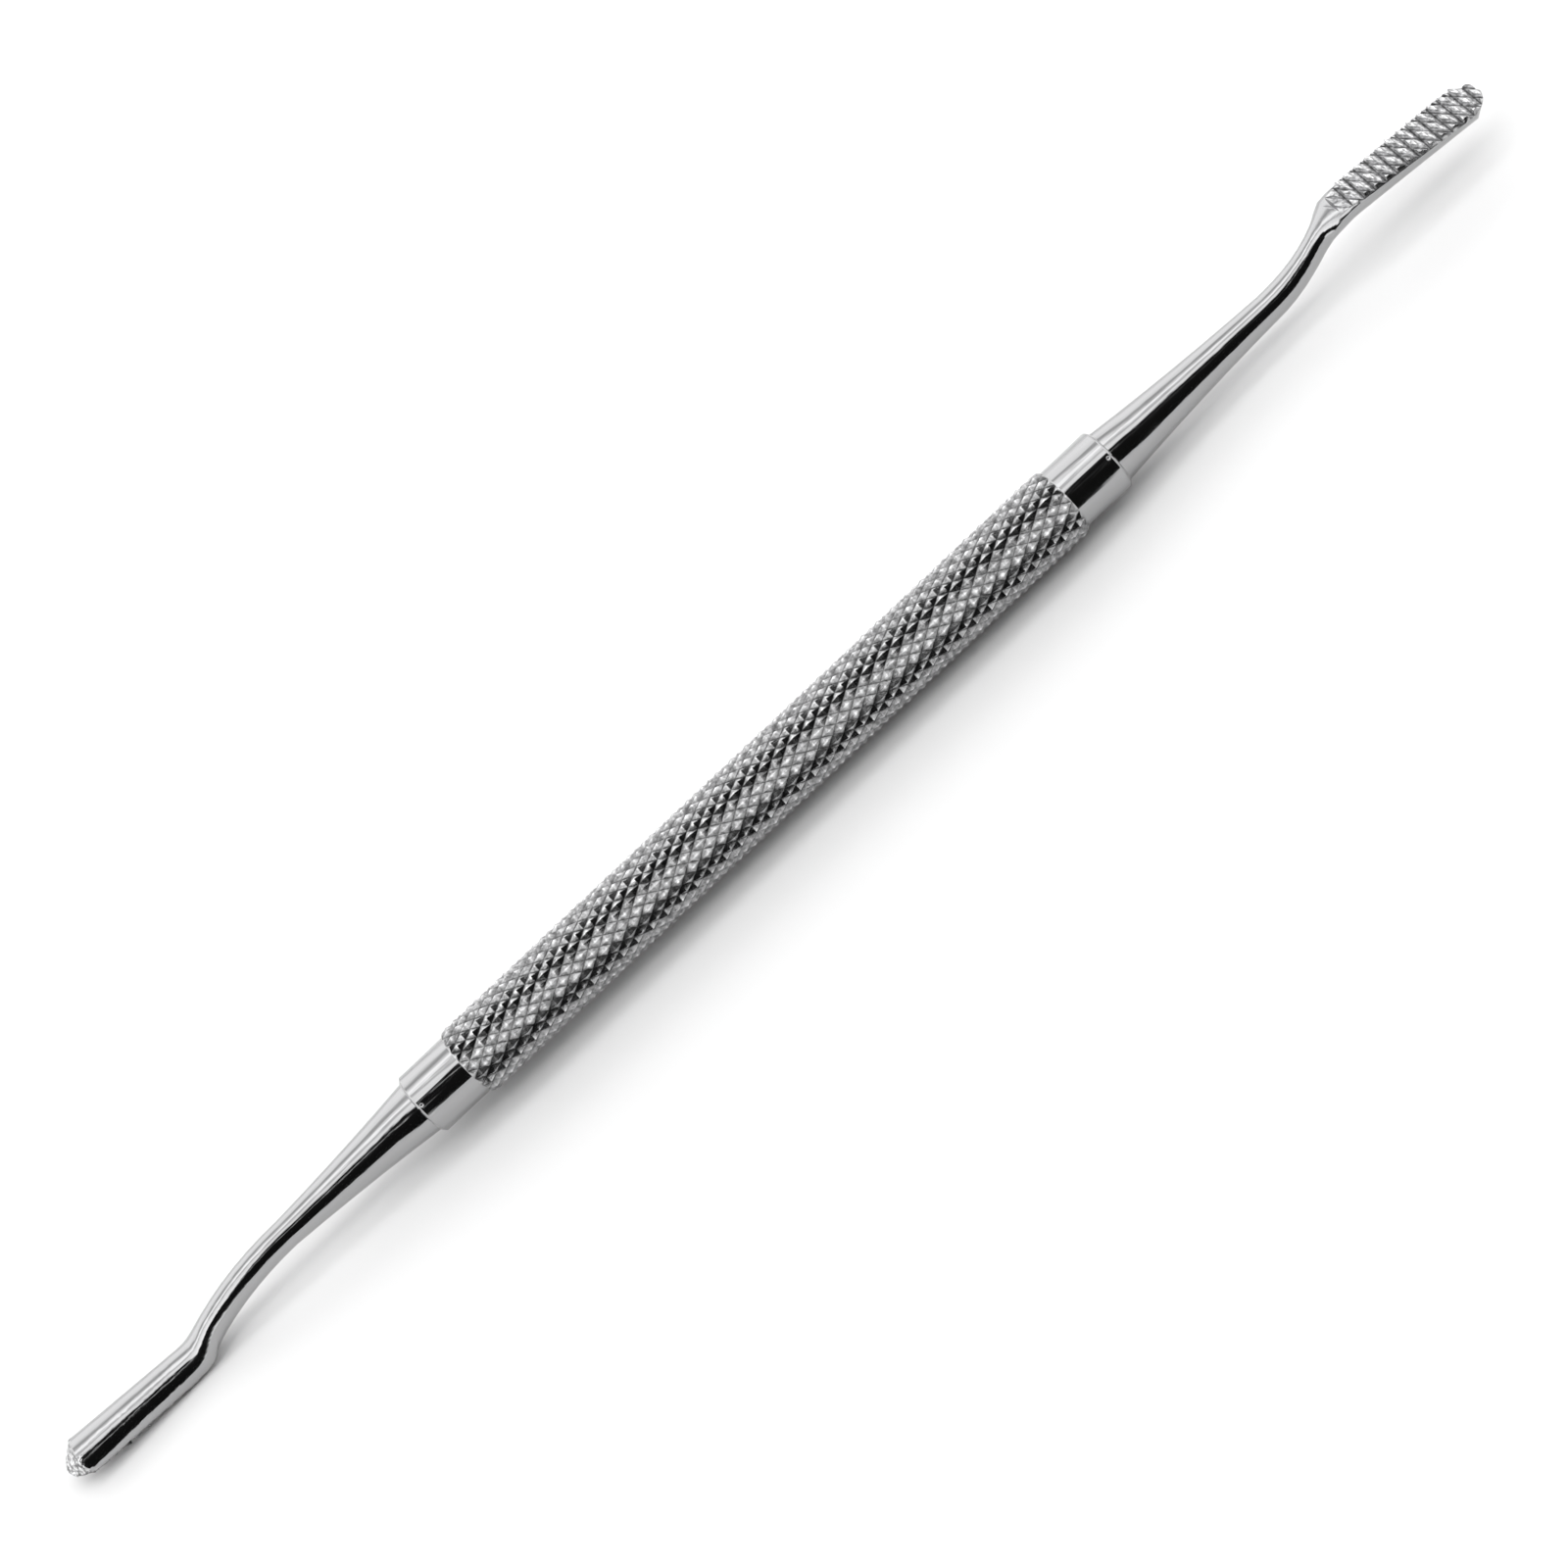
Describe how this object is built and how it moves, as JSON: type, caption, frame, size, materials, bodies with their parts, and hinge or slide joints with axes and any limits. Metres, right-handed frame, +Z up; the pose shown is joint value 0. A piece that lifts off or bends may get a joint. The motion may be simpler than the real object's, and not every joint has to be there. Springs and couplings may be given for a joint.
{
  "type": "bone file",
  "caption": "Hand-held bone file: round handle with a diamond knurl between smooth collars, and a slim bent file end with cross-cut teeth at either end, one facing up and one down.",
  "frame": {"origin": "middle of the handle, on its axis", "axes": "+X along the handle towards the file end whose teeth face up, +Y across the file faces, +Z up, the way the upper file face looks"},
  "size_m": [0.1747, 0.0072, 0.0089],
  "materials": {
    "handle_steel": "polished stainless steel",
    "file_steel": "polished stainless steel"
  },
  "bodies": {
    "root": {"handle": "handle_steel", "upper_file_end": "file_steel", "lower_file_end": "file_steel"}
  },
  "joints": []
}
